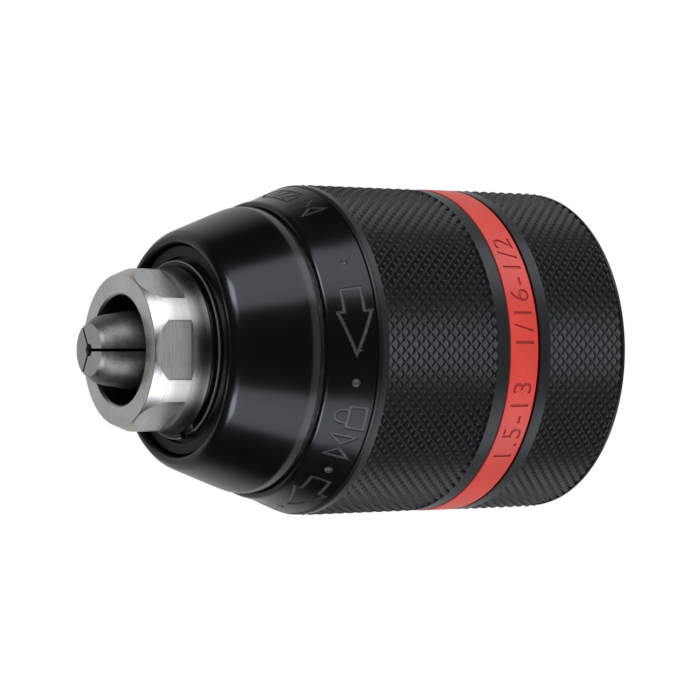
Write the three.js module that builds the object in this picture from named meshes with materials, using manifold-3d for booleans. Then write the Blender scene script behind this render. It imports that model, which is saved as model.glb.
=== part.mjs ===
// Keyless two-sleeve drill chuck, 13 mm capacity.
// Millimetres, +Z up. The chuck lies along Y with its nose towards -Y, and the origin is the
// centre of the body's rear face, which seats against the drill spindle's shoulder.
//
// Profiles are written as [radius, station] pairs. A station is the distance behind the nose
// face, so station 0 is the nose face and station BODY_LENGTH is the origin.

import * as THREE from 'three';
import { mergeVertices } from 'three/addons/utils/BufferGeometryUtils.js';
import Module from 'manifold-3d';

const wasm = await Module();
wasm.setup();

// ---------------------------------------------------------------- driving dimensions

const BODY_LENGTH = 64.0;      // nose face to spindle seat
const OUTER_SEGMENTS = 48;     // facets around the turned pieces that show
const INNER_SEGMENTS = 36;     // facets around the turned pieces inside
const FIT_GAP = 0.15;          // radial gap between turned neighbours

// Grip and covers
const GRIP_RADIUS = 21.45;
const REAR_SLEEVE_RADIUS = 21.55;
const COVER_BORE_RADIUS = 19.4;
const GRIP_FRONT = 24.9;
const GRIP_REAR = 44.7;
const SIZE_RING_FRONT = 44.85;
const SIZE_RING_REAR = 49.2;
const SIZE_RING_RADIUS = 21.5;
const REAR_SLEEVE_FRONT = 49.5;
const REAR_SLEEVE_REAR = 63.6;

// Nose of the body
const TOOL_BORE_RADIUS = 6.87;
const TOOL_BORE_DEPTH = 38.5;
const NOSE_RADIUS = 10.2;
const WRENCH_ACROSS_FLATS = 19.0;
const WRENCH_FLAT_END = 5.3;
const CLIP_GROOVE_FRONT = 7.8;
const CLIP_GROOVE_REAR = 8.7;
const CLIP_GROOVE_RADIUS = 9.9;
const SPIGOT_RADIUS = 10.57;
const CLIP_RADIUS = 11.3;
const CLIP_MOUTH_WIDTH = 4.5;
const CLIP_MOUTH_AZIMUTH = -77;
const DISC_RADIUS = 13.2;

// Rear of the body
const BODY_RADIUS = 18.5;
const BODY_BARREL_END = 47.0;
const HUB_RADIUS = 13.3;
const SPINDLE_RADIUS = 6.35;   // 1/2 inch thread, major radius
const SPINDLE_DEPTH = 16.0;
const SCREW_HOLE_RADIUS = 3.15;
const SCREW_SHANK_RADIUS = 2.95;
const SCREW_HEAD_RADIUS = 4.6;
const SCREW_END = 52.8;
const BUSH_RADIUS = 15.95;
const BUSH_FRONT = 58.6;
const BUSH_REAR = 63.3;
const REAR_SLEEVE_FLOOR = 60.8;  // front of the sleeve's inward rim, which sits on the bush

// Jaws: three round bars in bores that lean outwards towards the rear
const JAW_RADIUS = 4.25;
const JAW_LEAN = Math.atan(0.325);
const JAW_AXIS_AT_NOSE = 0.6;  // distance from the chuck axis at station 0
const JAW_TIP = -4.1;
const JAW_TAIL = 22.5;
const JAW_SPLIT_GAP = 0.19;    // half of the slit between closed jaws
const JAW_BORE_CLEARANCE = 0.12;
const JAW_AZIMUTHS = [60, -60, 180];

// Threaded ring and its thrust bearing
const NUT_FRONT = 15.2;
const NUT_REAR = 20.8;
const NUT_RADIUS = 14.8;
const NUT_THREAD_CLEARANCE = 0.25;
const BAND_RADIUS = 15.9;
const BALL_COUNT = 16;
const BALL_RADIUS = 1.0;
const BALL_PITCH_RADIUS = 14.3;
const BALL_STATION = 21.95;
const BALL_POCKET_RADIUS = 1.12;
const CAGE_THICKNESS = 1.0;
const CAGE_WIDTH = 2.75;
const RACE_FRONT = 23.1;
const RACE_REAR = 24.9;
const RACE_INNER_RADIUS = 13.5;
const RACE_OUTER_RADIUS = 16.0;
const GROOVE_FLOOR_RADIUS = 9.8;
const BEARING_SEAT_RADIUS = 12.8;

// ---------------------------------------------------------------- materials

function material(color, roughness, metalness) {
  return new THREE.MeshStandardMaterial({ color, roughness, metalness });
}

const steel = material(0x9a9b9e, 0.34, 1.0);
const groundSteel = material(0xc2c4c8, 0.22, 1.0);
const hardenedSteel = material(0x6f7074, 0.32, 1.0);
const springSteel = material(0x2e2f32, 0.4, 0.9);
const brass = material(0xb59a55, 0.35, 1.0);
const glossBlack = material(0x0d0e10, 0.2, 0.0);
const satinBlack = material(0x17181b, 0.42, 0.0);
const darkGrey = material(0x3b3d41, 0.5, 0.3);
const red = material(0xe0554b, 0.36, 0.0);

// ---------------------------------------------------------------- geometry helpers

/** Position along Y of a station. */
function along(station) {
  return station - BODY_LENGTH;
}

/** Turns a closed three.js geometry into a manifold solid. */
function solid(geometry) {
  const bare = geometry.index ? geometry.toNonIndexed() : geometry.clone();
  bare.deleteAttribute('normal');
  bare.deleteAttribute('uv');
  const merged = mergeVertices(bare, 1e-4);
  const kept = [];
  for (let i = 0; i < merged.index.count; i += 3) {
    const corners = [0, 1, 2].map((k) => merged.index.getX(i + k));
    if (new Set(corners).size === 3) kept.push(...corners);
  }
  return new wasm.Manifold(new wasm.Mesh({
    numProp: 3,
    vertProperties: Float32Array.from(merged.attributes.position.array),
    triVerts: Uint32Array.from(kept),
  }));
}

/** Turns a manifold solid back into a three.js geometry. */
function geometryOf(shape) {
  const mesh = shape.getMesh();
  const geometry = new THREE.BufferGeometry();
  geometry.setAttribute('position', new THREE.BufferAttribute(mesh.vertProperties, 3));
  geometry.setIndex(new THREE.BufferAttribute(mesh.triVerts, 1));
  geometry.computeVertexNormals();
  return geometry;
}

/** Solid of revolution about the chuck axis from a closed [radius, station] profile. */
function turned(profile, segments = OUTER_SEGMENTS) {
  const outline = profile.map(([radius, station]) => new THREE.Vector2(radius, along(station)));
  const ordered = THREE.ShapeUtils.isClockWise(outline) ? outline.reverse() : outline;
  return solid(new THREE.LatheGeometry([...ordered, ordered[0]], segments));
}

/** Turned ring of rectangular section. */
function ring(innerRadius, outerRadius, front, rear, segments = OUTER_SEGMENTS) {
  return turned([
    [innerRadius, front], [outerRadius, front], [outerRadius, rear], [innerRadius, rear],
  ], segments);
}

/** Straight prism along Y from an outline in X and Z. */
function prism(outline, front, rear) {
  const shape = new THREE.Shape(outline.map(([x, z]) => new THREE.Vector2(x, z)));
  const geometry = new THREE.ExtrudeGeometry(shape, { depth: rear - front, bevelEnabled: false });
  return solid(geometry.rotateX(Math.PI / 2).translate(0, along(rear), 0));
}

/** Block that spans a radial range, centred on the +X direction. */
function radialBlock(innerRadius, outerRadius, width, front, rear) {
  const half = width / 2;
  return prism([
    [innerRadius, -half], [outerRadius, -half], [outerRadius, half], [innerRadius, half],
  ], front, rear);
}

/** Turns a solid about the chuck axis; azimuth 0 is +X and 90 is +Z. */
function atAzimuth(shape, degrees) {
  return shape.rotate([0, -degrees, 0]);
}

/** Distance of a jaw's own axis from the chuck axis. */
function jawAxisRadius(station) {
  return JAW_AXIS_AT_NOSE + station * Math.tan(JAW_LEAN);
}

/** Largest distance of a jaw's surface from the chuck axis. */
function jawOuterRadius(station) {
  return jawAxisRadius(station) + JAW_RADIUS / Math.cos(JAW_LEAN);
}

/** Round bar on a jaw's axis, pointing to azimuth 0, between two stations of its centre line. */
function leaningBar(radius, front, rear) {
  const middle = (front + rear) / 2;
  const length = (rear - front) / Math.cos(JAW_LEAN);
  const bar = new THREE.CylinderGeometry(radius, radius, length, 32);
  return solid(bar.rotateZ(-JAW_LEAN).translate(jawAxisRadius(middle), along(middle), 0));
}

// ---------------------------------------------------------------- body

function wrenchFlatCuts() {
  const half = WRENCH_ACROSS_FLATS / 2;
  const cuts = [];
  for (let i = 0; i < 6; i += 1) {
    cuts.push(atAzimuth(radialBlock(half, half + 4, 24, -1, WRENCH_FLAT_END), i * 60));
  }
  return cuts;
}

function chuckBody() {
  const spindleFloor = BODY_LENGTH - SPINDLE_DEPTH;
  const shoulder = RACE_REAR + 0.2;
  let body = turned([
    [TOOL_BORE_RADIUS + 0.3, 0], [9.46, 0], [NOSE_RADIUS, 1.9], [NOSE_RADIUS, 5.5],
    [SPIGOT_RADIUS, 7.55], [SPIGOT_RADIUS, CLIP_GROOVE_FRONT],
    [CLIP_GROOVE_RADIUS, CLIP_GROOVE_FRONT], [CLIP_GROOVE_RADIUS, CLIP_GROOVE_REAR],
    [SPIGOT_RADIUS, CLIP_GROOVE_REAR], [SPIGOT_RADIUS, 9.95], [12.6, 9.95], [13.6, NUT_FRONT - 0.2],
    [GROOVE_FLOOR_RADIUS, NUT_FRONT - 0.2], [GROOVE_FLOOR_RADIUS, NUT_REAR + 0.3],
    [BEARING_SEAT_RADIUS, NUT_REAR + 0.3], [BEARING_SEAT_RADIUS, shoulder], [17.6, shoulder],
    [BODY_RADIUS, shoulder + 1.6], [BODY_RADIUS, BODY_BARREL_END - 1],
    [BODY_RADIUS - 1, BODY_BARREL_END],
    [HUB_RADIUS, BODY_BARREL_END], [HUB_RADIUS, BODY_LENGTH - 0.9], [12.4, BODY_LENGTH],
    [SPINDLE_RADIUS + 0.6, BODY_LENGTH], [SPINDLE_RADIUS, BODY_LENGTH - 0.6],
    [SPINDLE_RADIUS, spindleFloor], [SCREW_HOLE_RADIUS, spindleFloor],
    [SCREW_HOLE_RADIUS, TOOL_BORE_DEPTH], [TOOL_BORE_RADIUS, TOOL_BORE_DEPTH],
    [TOOL_BORE_RADIUS, 0.3],
  ]);
  const bore = leaningBar(JAW_RADIUS + JAW_BORE_CLEARANCE, -6, 60);
  const cuts = [...wrenchFlatCuts(), ...JAW_AZIMUTHS.map((azimuth) => atAzimuth(bore, azimuth))];
  for (const cut of cuts) body = body.subtract(cut);
  return body;
}

function lockingScrew() {
  const headFront = TOOL_BORE_DEPTH - 3.8;
  const headRear = TOOL_BORE_DEPTH - 0.1;
  const screw = turned([
    [0, headFront], [SCREW_HEAD_RADIUS - 0.3, headFront], [SCREW_HEAD_RADIUS, headFront + 0.3],
    [SCREW_HEAD_RADIUS, headRear], [SCREW_SHANK_RADIUS, headRear],
    [SCREW_SHANK_RADIUS, SCREW_END - 0.6], [SCREW_SHANK_RADIUS - 0.6, SCREW_END], [0, SCREW_END],
  ], 24);
  const socket = new THREE.CylinderGeometry(2.5, 2.5, 4.4, 6).translate(0, along(headFront), 0);
  return screw.subtract(solid(socket));
}

// ---------------------------------------------------------------- jaws

function jaw() {
  const wedgeApex = JAW_SPLIT_GAP / Math.sin(Math.PI / 3);
  const wedge = prism([
    [wedgeApex, 0], [wedgeApex + 6, -6 * Math.sqrt(3)], [20, -6 * Math.sqrt(3)],
    [20, 6 * Math.sqrt(3)], [wedgeApex + 6, 6 * Math.sqrt(3)],
  ], JAW_TIP - 4, JAW_TAIL + 4);
  const turnedFront = turned([
    [0, JAW_TIP], [3.62, JAW_TIP], [4.28, -2.5], [6.0, 9.0], [24, 9.0], [24, 40], [0, 40],
  ]);
  return leaningBar(JAW_RADIUS, -9, JAW_TAIL).intersect(wedge).intersect(turnedFront);
}

// ---------------------------------------------------------------- threaded ring and bearing

function nutHalf(side) {
  const clear = NUT_THREAD_CLEARANCE;
  const whole = turned([
    [jawOuterRadius(NUT_FRONT) + clear, NUT_FRONT], [NUT_RADIUS, NUT_FRONT],
    [NUT_RADIUS, NUT_REAR], [jawOuterRadius(NUT_REAR) + clear, NUT_REAR],
  ], INNER_SEGMENTS);
  const other = radialBlock(-FIT_GAP, 20, 40, NUT_FRONT - 1, NUT_REAR + 1);
  return whole.subtract(atAzimuth(other, side));
}

function ballCage() {
  let cage = ring(BALL_PITCH_RADIUS - CAGE_WIDTH / 2, BALL_PITCH_RADIUS + CAGE_WIDTH / 2,
    BALL_STATION - CAGE_THICKNESS / 2, BALL_STATION + CAGE_THICKNESS / 2, INNER_SEGMENTS);
  for (let i = 0; i < BALL_COUNT; i += 1) {
    const pocket = new THREE.CylinderGeometry(BALL_POCKET_RADIUS, BALL_POCKET_RADIUS, 3, 10)
      .translate(BALL_PITCH_RADIUS, along(BALL_STATION), 0);
    cage = cage.subtract(atAzimuth(solid(pocket), i * 360 / BALL_COUNT));
  }
  return cage;
}

function bearingBall(index) {
  const ball = new THREE.SphereGeometry(BALL_RADIUS, 10, 7)
    .translate(BALL_PITCH_RADIUS, along(BALL_STATION), 0);
  return atAzimuth(solid(ball), index * 360 / BALL_COUNT);
}

// ---------------------------------------------------------------- front closure

function circlip() {
  const clip = ring(CLIP_GROOVE_RADIUS + 0.1, CLIP_RADIUS, CLIP_GROOVE_FRONT + 0.1,
    CLIP_GROOVE_REAR - 0.1);
  const mouth = radialBlock(5, 14, CLIP_MOUTH_WIDTH, 6, 10);
  return clip.subtract(atAzimuth(mouth, CLIP_MOUTH_AZIMUTH));
}

/** Stepped washer: the circlip sits in its counterbore and keeps it on the body. */
function frontDisc() {
  const inner = SPIGOT_RADIUS + FIT_GAP;
  const step = CLIP_RADIUS + 0.45;
  return turned([
    [inner, 9.3], [step, 9.3], [step, 8.75], [DISC_RADIUS, 8.75], [DISC_RADIUS, 9.8], [inner, 9.8],
  ]);
}

function frontCap() {
  return turned([
    [13.43, 9.1], [13.43, 8.4], [13.9, 7.75], [14.5, 7.95], [15.1, 8.6], [15.72, 10.1],
    [17.72, 15.1], [18.1, 16.3], [18.42, 18.0], [18.3, 18.35], [17.05, 18.35], [17.05, 15.0],
    [16.3, 15.0], [14.5, 10.0],
  ]);
}

// ---------------------------------------------------------------- sleeves and rings

function sleeveCarrier() {
  return turned([
    [BAND_RADIUS + FIT_GAP, NUT_FRONT], [16.9, NUT_FRONT], [16.9, 18.55], [17.95, 18.55],
    [17.95, 19.4], [19.25, 24.6], [19.25, 48.9], [18.7, 48.9], [18.7, 25.4],
    [BAND_RADIUS + FIT_GAP, NUT_REAR],
  ]);
}

function markerCollar() {
  return turned([
    [18.1, 18.75], [18.85, 18.75], [19.05, 19.0], [19.63, 21.15], [21.1, 24.75], [19.42, 24.75],
    [18.1, 19.5],
  ]);
}

function gripSleeve() {
  return turned([
    [COVER_BORE_RADIUS, GRIP_FRONT], [21.2, GRIP_FRONT], [GRIP_RADIUS, GRIP_FRONT + 0.6],
    [GRIP_RADIUS, GRIP_REAR - 0.2], [GRIP_RADIUS - 0.2, GRIP_REAR], [COVER_BORE_RADIUS, GRIP_REAR],
  ]);
}

function sizeRing() {
  return ring(COVER_BORE_RADIUS, SIZE_RING_RADIUS, SIZE_RING_FRONT, SIZE_RING_REAR);
}

function rearSleeve() {
  return turned([
    [COVER_BORE_RADIUS, REAR_SLEEVE_FRONT], [REAR_SLEEVE_RADIUS - 0.2, REAR_SLEEVE_FRONT],
    [REAR_SLEEVE_RADIUS, REAR_SLEEVE_FRONT + 0.2], [REAR_SLEEVE_RADIUS, REAR_SLEEVE_REAR - 0.4],
    [REAR_SLEEVE_RADIUS - 0.4, REAR_SLEEVE_REAR], [BUSH_RADIUS + FIT_GAP, REAR_SLEEVE_REAR],
    [BUSH_RADIUS + FIT_GAP, REAR_SLEEVE_FLOOR], [COVER_BORE_RADIUS, REAR_SLEEVE_FLOOR],
  ]);
}

// ---------------------------------------------------------------- assembly

const chuck = new THREE.Group();

function place(name, shape, surface) {
  const mesh = new THREE.Mesh(geometryOf(shape), surface);
  mesh.name = name;
  chuck.add(mesh);
}

place('chuck_body', chuckBody(), steel);
place('locking_screw', lockingScrew(), hardenedSteel);
place('circlip', circlip(), springSteel);
place('front_disc', frontDisc(), darkGrey);
place('thrust_race', ring(RACE_INNER_RADIUS, RACE_OUTER_RADIUS, RACE_FRONT, RACE_REAR,
  INNER_SEGMENTS), groundSteel);
place('rear_bush', ring(HUB_RADIUS + FIT_GAP, BUSH_RADIUS, BUSH_FRONT, BUSH_REAR), steel);
place('rear_sleeve', rearSleeve(), satinBlack);

JAW_AZIMUTHS.forEach((azimuth, index) => {
  place(`jaw_${index + 1}`, atAzimuth(jaw(), azimuth), groundSteel);
});

place('nut_half_upper', nutHalf(-90), hardenedSteel);
place('nut_half_lower', nutHalf(90), hardenedSteel);
place('nut_band', ring(NUT_RADIUS + 0.1, BAND_RADIUS, NUT_FRONT, NUT_REAR, INNER_SEGMENTS), steel);
place('sleeve_carrier', sleeveCarrier(), steel);
place('front_cap', frontCap(), glossBlack);
place('marker_collar', markerCollar(), glossBlack);
place('grip_sleeve', gripSleeve(), satinBlack);
place('size_ring', sizeRing(), red);

place('ball_cage', ballCage(), brass);
for (let i = 0; i < BALL_COUNT; i += 1) {
  place(`bearing_ball_${String(i + 1).padStart(2, '0')}`, bearingBall(i), groundSteel);
}

export default chuck;
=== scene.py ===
"""Keyless two-sleeve drill chuck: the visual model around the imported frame.

Metres in the scene, +Z up, the chuck along Y with its nose towards -Y. Profiles are written in
millimetres as (radius, station) pairs, where a station is the distance behind the nose face.
"""
import math

import bmesh
import bpy
from mathutils import Matrix, Vector


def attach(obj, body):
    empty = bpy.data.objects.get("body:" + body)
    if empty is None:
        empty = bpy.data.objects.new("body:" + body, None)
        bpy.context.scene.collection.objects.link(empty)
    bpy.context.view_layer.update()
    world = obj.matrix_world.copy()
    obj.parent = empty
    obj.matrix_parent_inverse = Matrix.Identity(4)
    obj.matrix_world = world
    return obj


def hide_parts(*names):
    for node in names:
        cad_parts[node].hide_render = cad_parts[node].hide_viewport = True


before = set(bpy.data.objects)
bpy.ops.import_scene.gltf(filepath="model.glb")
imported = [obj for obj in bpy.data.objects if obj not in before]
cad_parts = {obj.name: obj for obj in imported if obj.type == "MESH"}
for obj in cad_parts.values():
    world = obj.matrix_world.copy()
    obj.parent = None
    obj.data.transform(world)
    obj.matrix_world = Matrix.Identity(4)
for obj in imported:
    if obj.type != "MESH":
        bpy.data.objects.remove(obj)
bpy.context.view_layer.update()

MM = 0.001
BODY_LENGTH = 64.0
TAU = 2 * math.pi
WELD_REACH = 0.006 * MM
SLIVER_LENGTH = 0.001 * MM

# Sleeves and covers
GRIP_CREST = 21.44
GRIP_RIM = 21.34
REAR_CREST = 21.52
RING_RADIUS = 21.46
RING_FRONT = 44.87
RING_REAR = 49.18
NUMERAL_HEIGHT = 2.95
NUMERAL_DEPTH = 0.16
CAPITAL_SHARE = 0.72
NUMERAL_STATION = (RING_FRONT + RING_REAR) / 2 + 0.2
COVER_BORE = 19.42
KNURL_RELIEF = 0.36
KNURL_PITCH = 1.5
KNURL_FILL = 0.95
GRIP_KNURL = (26.3, 43.1)
REAR_KNURL = (51.2, 63.0)

# Nose, circlip, sockets and jaws
TOOL_BORE = 6.87
TOOL_BORE_DEPTH = 38.5
NOSE_RADIUS = 10.19
ACROSS_FLATS = 19.0
FLAT_END = 5.25
FLAT_HALF_WIDTH = 5.2
SPIGOT = 10.66
HUB = 13.28
CLIP_BORE = 9.98
CLIP_RADIUS = 11.28
CLIP_FRONT = 7.9
CLIP_REAR = 8.6
CLIP_MOUTH = 17
CLIP_MOUTH_AZIMUTH = -72
SPINDLE_DEPTH = 16.0
SPINDLE_MAJOR = 6.3
SPINDLE_MINOR = 5.75
SPINDLE_PITCH = 1.27
JAW_RADIUS = 4.25
JAW_SLOPE = 0.325
JAW_AT_NOSE = 0.6
JAW_TIP = -4.09
JAW_TAIL = 22.4
JAW_SPLIT = 0.19
JAW_THREAD_PITCH = 2.44
JAW_THREAD_DEPTH = 0.9
JAW_THREAD_RUN = (9.6, 20.4)
JAW_AZIMUTHS = {"jaw_1": 60, "jaw_2": -60, "jaw_3": 180}
JAW_BODIES = {"jaw_1": "jaw_a", "jaw_2": "jaw_b", "jaw_3": "jaw_c"}


# ------------------------------------------------------------------ mesh helpers

def along(station):
    """Y in metres of a station in millimetres."""
    return (station - BODY_LENGTH) * MM


def rounded(corners, steps=4):
    """Closed profile from (radius, station, fillet) corners, each fillet drawn as an arc."""
    points = []
    count = len(corners)
    for i, (radius, station, fillet) in enumerate(corners):
        here = Vector((radius, station))
        before = Vector(corners[i - 1][:2]) - here
        after = Vector(corners[(i + 1) % count][:2]) - here
        if fillet <= 0 or before.length == 0 or after.length == 0:
            points.append(here)
            continue
        reach = min(fillet, before.length * 0.45, after.length * 0.45)
        start = here + before.normalized() * reach
        end = here + after.normalized() * reach
        for k in range(steps + 1):
            t = k / steps
            points.append(start.lerp(here, t).lerp(here.lerp(end, t), t))
    return points


def new_piece(name, mesh, finish):
    mesh.materials.clear()
    mesh.materials.append(finish)
    piece = bpy.data.objects.new(name, mesh)
    bpy.context.scene.collection.objects.link(piece)
    return piece


def shade(mesh, angle=32):
    """Smooth shading with edges sharper than the angle kept crisp."""
    mesh.shade_smooth()
    mesh.set_sharp_from_angle(angle=math.radians(angle))


def line_grooves(mesh, face_radius, first_station, finish):
    """Gives the faces that lie below a turned face, from a station on, their own finish."""
    mesh.materials.append(finish)
    for polygon in mesh.polygons:
        x, y, z = polygon.center
        station = y / MM + BODY_LENGTH
        if station > first_station and math.hypot(x, z) / MM < face_radius(station) - 0.03:
            polygon.material_index = 1


def mesh_from(build, name):
    """Mesh filled by a function that works on a bmesh, with its faces turned outwards."""
    work = bmesh.new()
    build(work)
    bmesh.ops.remove_doubles(work, verts=work.verts, dist=1e-7)
    bmesh.ops.recalc_face_normals(work, faces=work.faces)
    mesh = bpy.data.meshes.new(name)
    work.to_mesh(mesh)
    work.free()
    shade(mesh)
    return mesh


def turned(name, points, segments=192):
    """Solid of revolution about the chuck axis from a closed profile."""
    def build(work):
        rings = []
        for radius, station in points:
            y = along(station)
            if radius < 1e-6:
                rings.append([work.verts.new((0, y, 0))] * segments)
                continue
            r = radius * MM
            turns = [TAU * k / segments for k in range(segments)]
            rings.append([work.verts.new((r * math.cos(a), y, r * math.sin(a))) for a in turns])
        for i, ring in enumerate(rings):
            following = rings[(i + 1) % len(rings)]
            for k in range(segments):
                n = (k + 1) % segments
                corners = [ring[k], ring[n], following[n], following[k]]
                unique = list(dict.fromkeys(corners))
                if len(unique) > 2:
                    work.faces.new(unique)
    return mesh_from(build, name)


def prism(name, outline, front, rear):
    """Straight bar along Y from an outline of (x, z) points in millimetres."""
    def build(work):
        caps = []
        for station in (front, rear):
            caps.append([work.verts.new((x * MM, along(station), z * MM)) for x, z in outline])
        work.faces.new(caps[0])
        work.faces.new(caps[1])
        count = len(outline)
        for k in range(count):
            n = (k + 1) % count
            work.faces.new([caps[0][k], caps[0][n], caps[1][n], caps[1][k]])
    return mesh_from(build, name)


def spun(mesh, azimuth):
    """Turns a mesh about the chuck axis; azimuth 0 is +X and 90 is +Z."""
    mesh.transform(Matrix.Rotation(-math.radians(azimuth), 4, "Y"))
    return mesh


def leaning_bar(radius, front, rear, segments=96):
    """Round bar on a jaw's own axis, between two stations of its centre line."""
    lean = math.atan(JAW_SLOPE)
    length = (rear - front) / math.cos(lean)
    middle = (front + rear) / 2

    def build(work):
        bmesh.ops.create_cone(work, cap_ends=True, segments=segments, radius1=radius * MM,
                              radius2=radius * MM, depth=length * MM)
        stand_along_y = Matrix.Rotation(-math.pi / 2, 4, "X")
        lean_out = Matrix.Rotation(-lean, 4, "Z")
        to_place = Matrix.Translation(((JAW_AT_NOSE + JAW_SLOPE * middle) * MM, along(middle), 0))
        bmesh.ops.transform(work, matrix=to_place @ lean_out @ stand_along_y, verts=work.verts)
    return mesh_from(build, "leaning_bar")


def evaluated_mesh(piece):
    """Plain mesh of a piece with its modifiers applied; the modifiers are then removed."""
    graph = bpy.context.evaluated_depsgraph_get()
    mesh = bpy.data.meshes.new_from_object(piece.evaluated_get(graph))
    piece.modifiers.clear()
    return mesh


def carve(piece, tools, operation="DIFFERENCE"):
    """Cuts a piece with tool meshes, one after the other."""
    helpers = []
    for tool in tools:
        helper = bpy.data.objects.new("carving_tool", tool)
        bpy.context.scene.collection.objects.link(helper)
        helpers.append(helper)
        modifier = piece.modifiers.new("carve", "BOOLEAN")
        modifier.operation = operation
        modifier.solver = "MANIFOLD"
        modifier.object = helper
    finish = piece.data.materials[0]
    piece.data = evaluated_mesh(piece)
    for polygon in piece.data.polygons:
        polygon.material_index = 0
    piece.data.materials.clear()
    piece.data.materials.append(finish)
    for helper in helpers:
        bpy.data.objects.remove(helper, do_unlink=True)


def break_edges(piece, width, angle=25, segments=2, crisp=14):
    """Small machined bevel on every sharp edge; facets that meet above crisp stay crisp.

    Bevels that run into each other are welded, so that the mesh stays closed.
    """
    modifier = piece.modifiers.new("edge_break", "BEVEL")
    modifier.width = width * MM
    modifier.segments = segments
    modifier.limit_method = "ANGLE"
    modifier.angle_limit = math.radians(angle)
    modifier.use_clamp_overlap = True
    modifier.miter_outer = "MITER_ARC"
    piece.data = evaluated_mesh(piece)
    work = bmesh.new()
    work.from_mesh(piece.data)
    bmesh.ops.remove_doubles(work, verts=work.verts, dist=WELD_REACH)
    bmesh.ops.dissolve_degenerate(work, edges=work.edges, dist=SLIVER_LENGTH)
    work.to_mesh(piece.data)
    work.free()
    shade(piece.data, crisp)


def finish_piece(piece, body, nodes=()):
    """Hands a finished piece to the frame: what it rides on and which CAD nodes it stands for."""
    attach(piece, body)
    if nodes:
        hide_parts(*nodes)


# ------------------------------------------------------------------ node helpers

def add_node(tree, kind, settings=None, sockets=None):
    """Adds a node to a tree; a socket among the values is linked, any other value is set."""
    made = tree.nodes.new(kind)
    for name, value in (settings or {}).items():
        setattr(made, name, value)
    for name, value in (sockets or {}).items():
        if isinstance(value, bpy.types.NodeSocket):
            tree.links.new(value, made.inputs[name])
        else:
            made.inputs[name].default_value = value
    return made


class Wire:
    """Output socket of a shader node that can be used in a Python expression."""

    def __init__(self, surface, socket):
        self.surface = surface
        self.socket = socket

    def maths(self, operation, *values):
        settings = {"operation": operation}
        return self.surface.node("ShaderNodeMath", settings, dict(enumerate(values)))

    def __add__(self, other):
        return self.maths("ADD", self, other)

    __radd__ = __add__

    def __sub__(self, other):
        return self.maths("SUBTRACT", self, other)

    def __rsub__(self, other):
        return self.maths("SUBTRACT", other, self)

    def __mul__(self, other):
        return self.maths("MULTIPLY", self, other)

    __rmul__ = __mul__

    def __pow__(self, other):
        return self.maths("POWER", self, other)

    def between(self, low, high):
        """0 below low, 1 above high, smooth in between."""
        settings = {"interpolation_type": "SMOOTHSTEP"}
        sockets = {"Value": self, "From Min": low, "From Max": high}
        return self.surface.node("ShaderNodeMapRange", settings, sockets)


class Surface:
    """A material under construction, with one method for any node."""

    def __init__(self, name, **constants):
        self.material = bpy.data.materials.new(name)
        self.material.use_nodes = True
        self.tree = self.material.node_tree
        self.shader = self.tree.nodes["Principled BSDF"]
        for socket, value in constants.items():
            self.shader.inputs[socket.replace("_", " ")].default_value = value
        place = self.node("ShaderNodeTexCoord", output="Object")
        split = self.node("ShaderNodeSeparateXYZ", {}, {0: place}, output="X")
        self.place = place
        self.x, self.y, self.z = (Wire(self, split.socket.node.outputs[k]) for k in "XYZ")

    def node(self, kind, settings=None, sockets=None, output=0):
        plain = {name: getattr(value, "socket", value) for name, value in (sockets or {}).items()}
        return Wire(self, add_node(self.tree, kind, settings, plain).outputs[output])

    def feed(self, socket, wire):
        self.tree.links.new(wire.socket, self.shader.inputs[socket])

    def radius(self):
        """Distance from the chuck axis, in metres."""
        return (self.x * self.x + self.z * self.z) ** 0.5

    def facing_along(self, low=0.4, high=0.8):
        """1 on faces that look along the chuck axis, 0 on faces that look away from it."""
        normal = self.node("ShaderNodeNewGeometry", output="Normal")
        slant = self.node("ShaderNodeSeparateXYZ", {}, {0: normal}, "Y")
        return (slant * slant).between(low, high)

    def nose_darkening(self):
        """Darkens the nose: a little on the lands between the flats, and heavily in the hollow
        behind them, where it is painted shade.
        """
        corner = self.radius().between((NOSE_RADIUS - 0.11) * MM, (NOSE_RADIUS - 0.05) * MM)
        corners = corner * self.y.between(along(1.6), along(3.6))
        hollow = self.y.between(along(4.9), along(6.7))
        return (corners * 0.3 + hollow * 0.58) * (1.0 - self.y.between(along(7.1), along(8.2)))

    def vector(self, x, y, z):
        return self.node("ShaderNodeCombineXYZ", {}, {0: x, 1: y, 2: z})

    def noise(self, vector, scale, detail=4.0, roughness=0.55):
        sockets = {"Vector": vector, "Scale": scale, "Detail": detail, "Roughness": roughness}
        return self.node("ShaderNodeTexNoise", {}, sockets, "Fac")

    def blend_colours(self, factor, first, second):
        settings = {"data_type": "RGBA"}
        sockets = {0: factor, 6: first, 7: second}
        return self.node("ShaderNodeMix", settings, sockets, 2)

    def bump(self, height, distance, strength=1.0):
        sockets = {"Height": height, "Distance": distance, "Strength": strength}
        self.feed("Normal", self.node("ShaderNodeBump", {}, sockets))


COOL_TINT = (0.94, 0.99, 1.08)
WARM_TINT = (1.05, 1.0, 0.93)


def grey(value, tint=(1.0, 1.0, 1.0)):
    return (value * tint[0], value * tint[1], value * tint[2], 1.0)


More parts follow.
